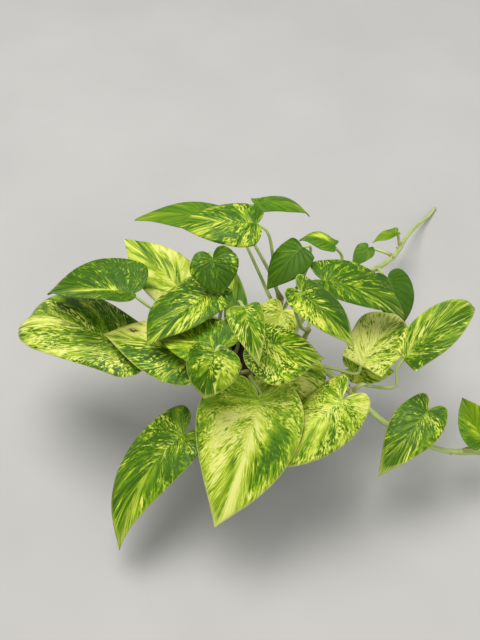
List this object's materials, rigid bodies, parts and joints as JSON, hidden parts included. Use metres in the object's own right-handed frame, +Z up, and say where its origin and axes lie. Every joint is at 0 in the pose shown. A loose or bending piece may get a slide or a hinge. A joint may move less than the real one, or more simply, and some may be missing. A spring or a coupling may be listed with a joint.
{
  "type": "potted pothos plant",
  "caption": "Potted neon queen pothos: heart-shaped variegated lime, cream and green leaves on arching stalks, with trailing stems, in a thin black nursery pot.",
  "frame": {"origin": "centre of the pot's flat base", "axes": "+Z up out of the pot, +X towards the right trailing stem, +Y away from the largest front leaf"},
  "size_m": [0.4604, 0.4197, 0.1975],
  "materials": {
    "pot_plastic": "satin black",
    "soil": "loose, matt and brown",
    "stem": "smooth, pale green",
    "leaf_green": "waxy, deep green with light flecks",
    "leaf_marbled": "waxy, lime and cream streaks on green",
    "leaf_pale": "waxy, cream and lime"
  },
  "bodies": {
    "root": {"pot": "pot_plastic", "potting_mix": "soil", "stem_left": "stem", "stem_back_left": "stem", "stem_back": "stem", "stem_front": "stem", "stem_front_right": "stem", "stem_right": "stem", "vine_right": "stem", "vine_back": "stem", "leaf_back_1": "leaf_green", "leaf_back_6": "leaf_green", "leaf_back_3": "leaf_green", "leaf_top_1": "leaf_green", "leaf_left_1": "leaf_green", "leaf_right_5": "leaf_green", "leaf_vine_back_1": "leaf_green", "leaf_vine_back_2": "leaf_green", "leaf_vine_back_3": "leaf_green", "leaf_top_3": "leaf_green", "leaf_back_2": "leaf_marbled", "leaf_top_2": "leaf_marbled", "leaf_left_2": "leaf_marbled", "leaf_left_3": "leaf_marbled", "leaf_front_1": "leaf_marbled", "leaf_left_4": "leaf_marbled", "leaf_top_4": "leaf_marbled", "leaf_right_1": "leaf_marbled", "leaf_right_2": "leaf_marbled", "leaf_right_4": "leaf_marbled", "leaf_front_2": "leaf_marbled", "leaf_front_3": "leaf_marbled", "leaf_front_4": "leaf_marbled", "leaf_front_5": "leaf_marbled", "leaf_vine_right_1": "leaf_marbled", "leaf_back_7": "leaf_marbled", "leaf_back_8": "leaf_marbled", "leaf_back_4": "leaf_pale", "leaf_back_5": "leaf_pale", "leaf_right_3": "leaf_pale", "leaf_vine_right_2": "leaf_pale"}
  },
  "joints": []
}
